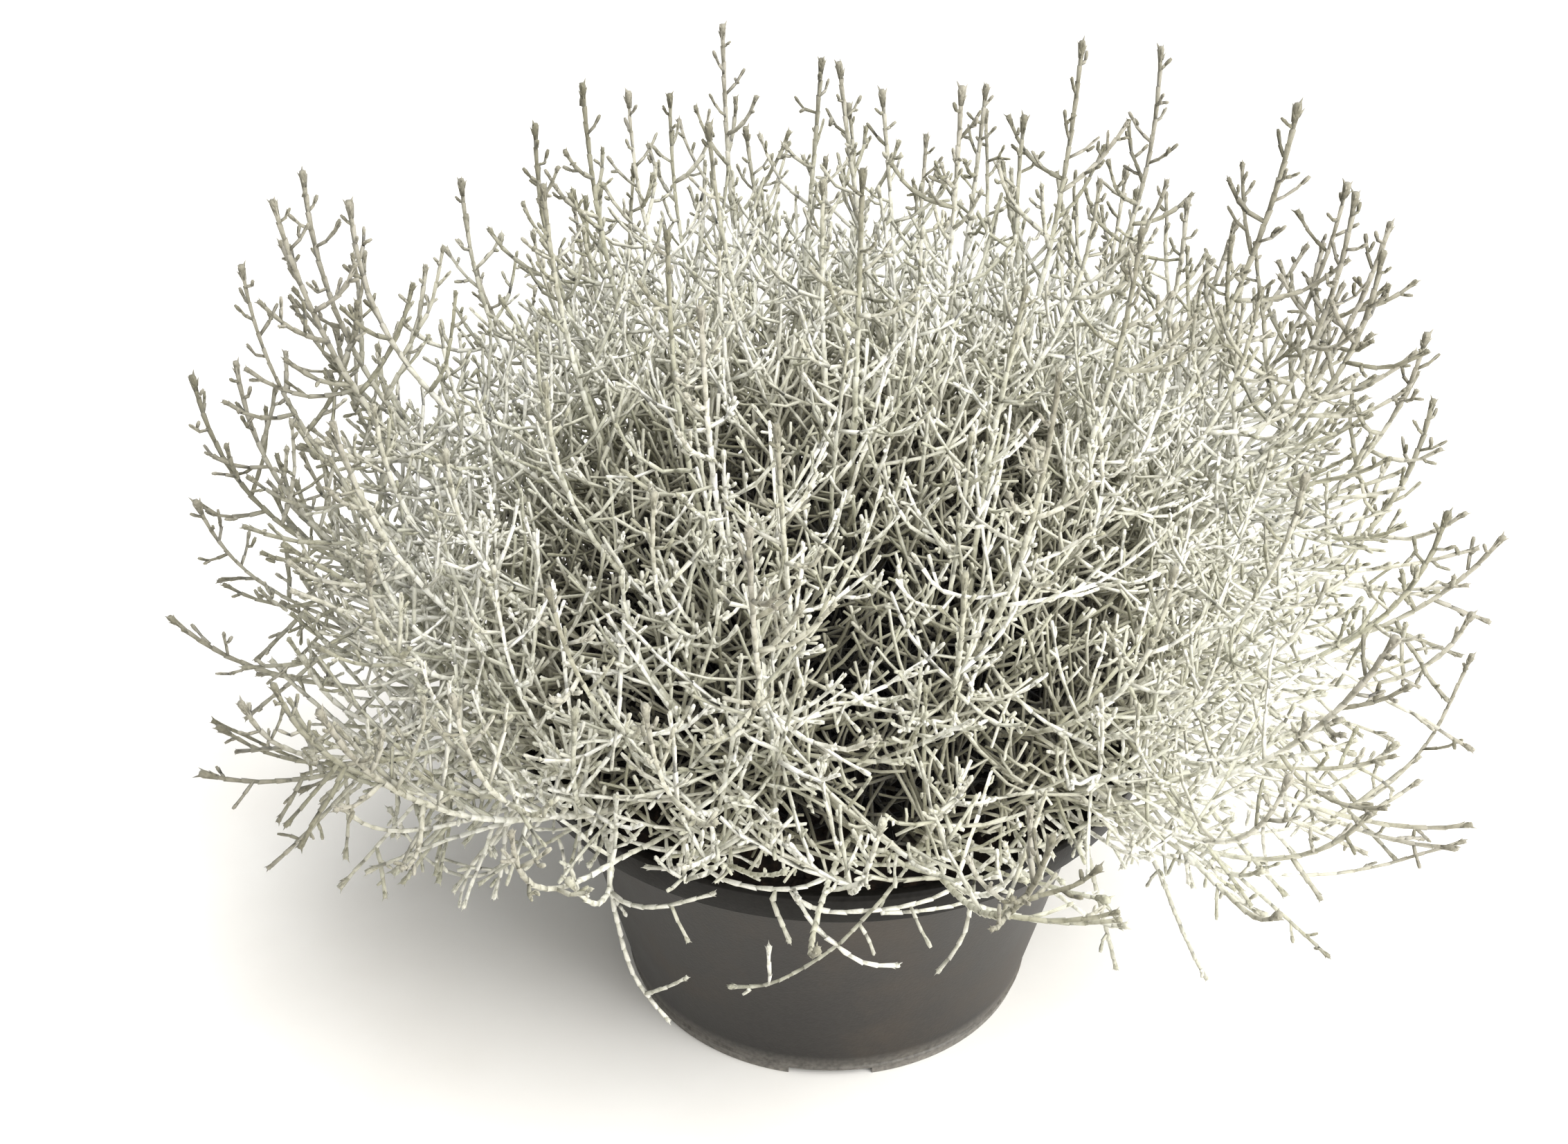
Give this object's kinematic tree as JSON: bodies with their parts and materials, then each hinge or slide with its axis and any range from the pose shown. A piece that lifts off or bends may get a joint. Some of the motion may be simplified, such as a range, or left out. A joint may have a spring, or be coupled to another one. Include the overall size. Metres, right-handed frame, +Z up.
{
  "type": "potted cushion bush",
  "caption": "Silvery cushion bush of fine, nearly leafless twigs with clubbed tips, growing in a plain round nursery pot that rests on its foot ring.",
  "frame": {"origin": "on the floor under the middle of the pot, at the middle of the whole part's base", "axes": "+Z up along the pot's axis; +X across the bush's widest spread, to the right as seen from the front; -Y towards the front"},
  "size_m": [0.448, 0.438, 0.342],
  "materials": {
    "pot_plastic": "moulded, dark charcoal, faint sheen, dusty at the foot",
    "peat": "crumbly dark growing mix",
    "silver_twig": "dull white-grey felt over thin twigs"
  },
  "bodies": {
    "root": {"pot": "pot_plastic", "soil": "peat", "stem_01": "silver_twig", "stem_02": "silver_twig", "stem_03": "silver_twig", "stem_04": "silver_twig", "stem_05": "silver_twig", "stem_06": "silver_twig", "stem_07": "silver_twig", "stem_08": "silver_twig", "stem_09": "silver_twig", "stem_10": "silver_twig", "stem_11": "silver_twig", "stem_12": "silver_twig", "stem_13": "silver_twig", "stem_14": "silver_twig", "stem_15": "silver_twig", "stem_16": "silver_twig", "stem_17": "silver_twig", "stem_18": "silver_twig", "stem_19": "silver_twig", "stem_20": "silver_twig", "stem_21": "silver_twig", "stem_22": "silver_twig", "stem_23": "silver_twig", "stem_24": "silver_twig", "stem_25": "silver_twig", "stem_26": "silver_twig", "stem_27": "silver_twig", "stem_28": "silver_twig"}
  },
  "joints": []
}
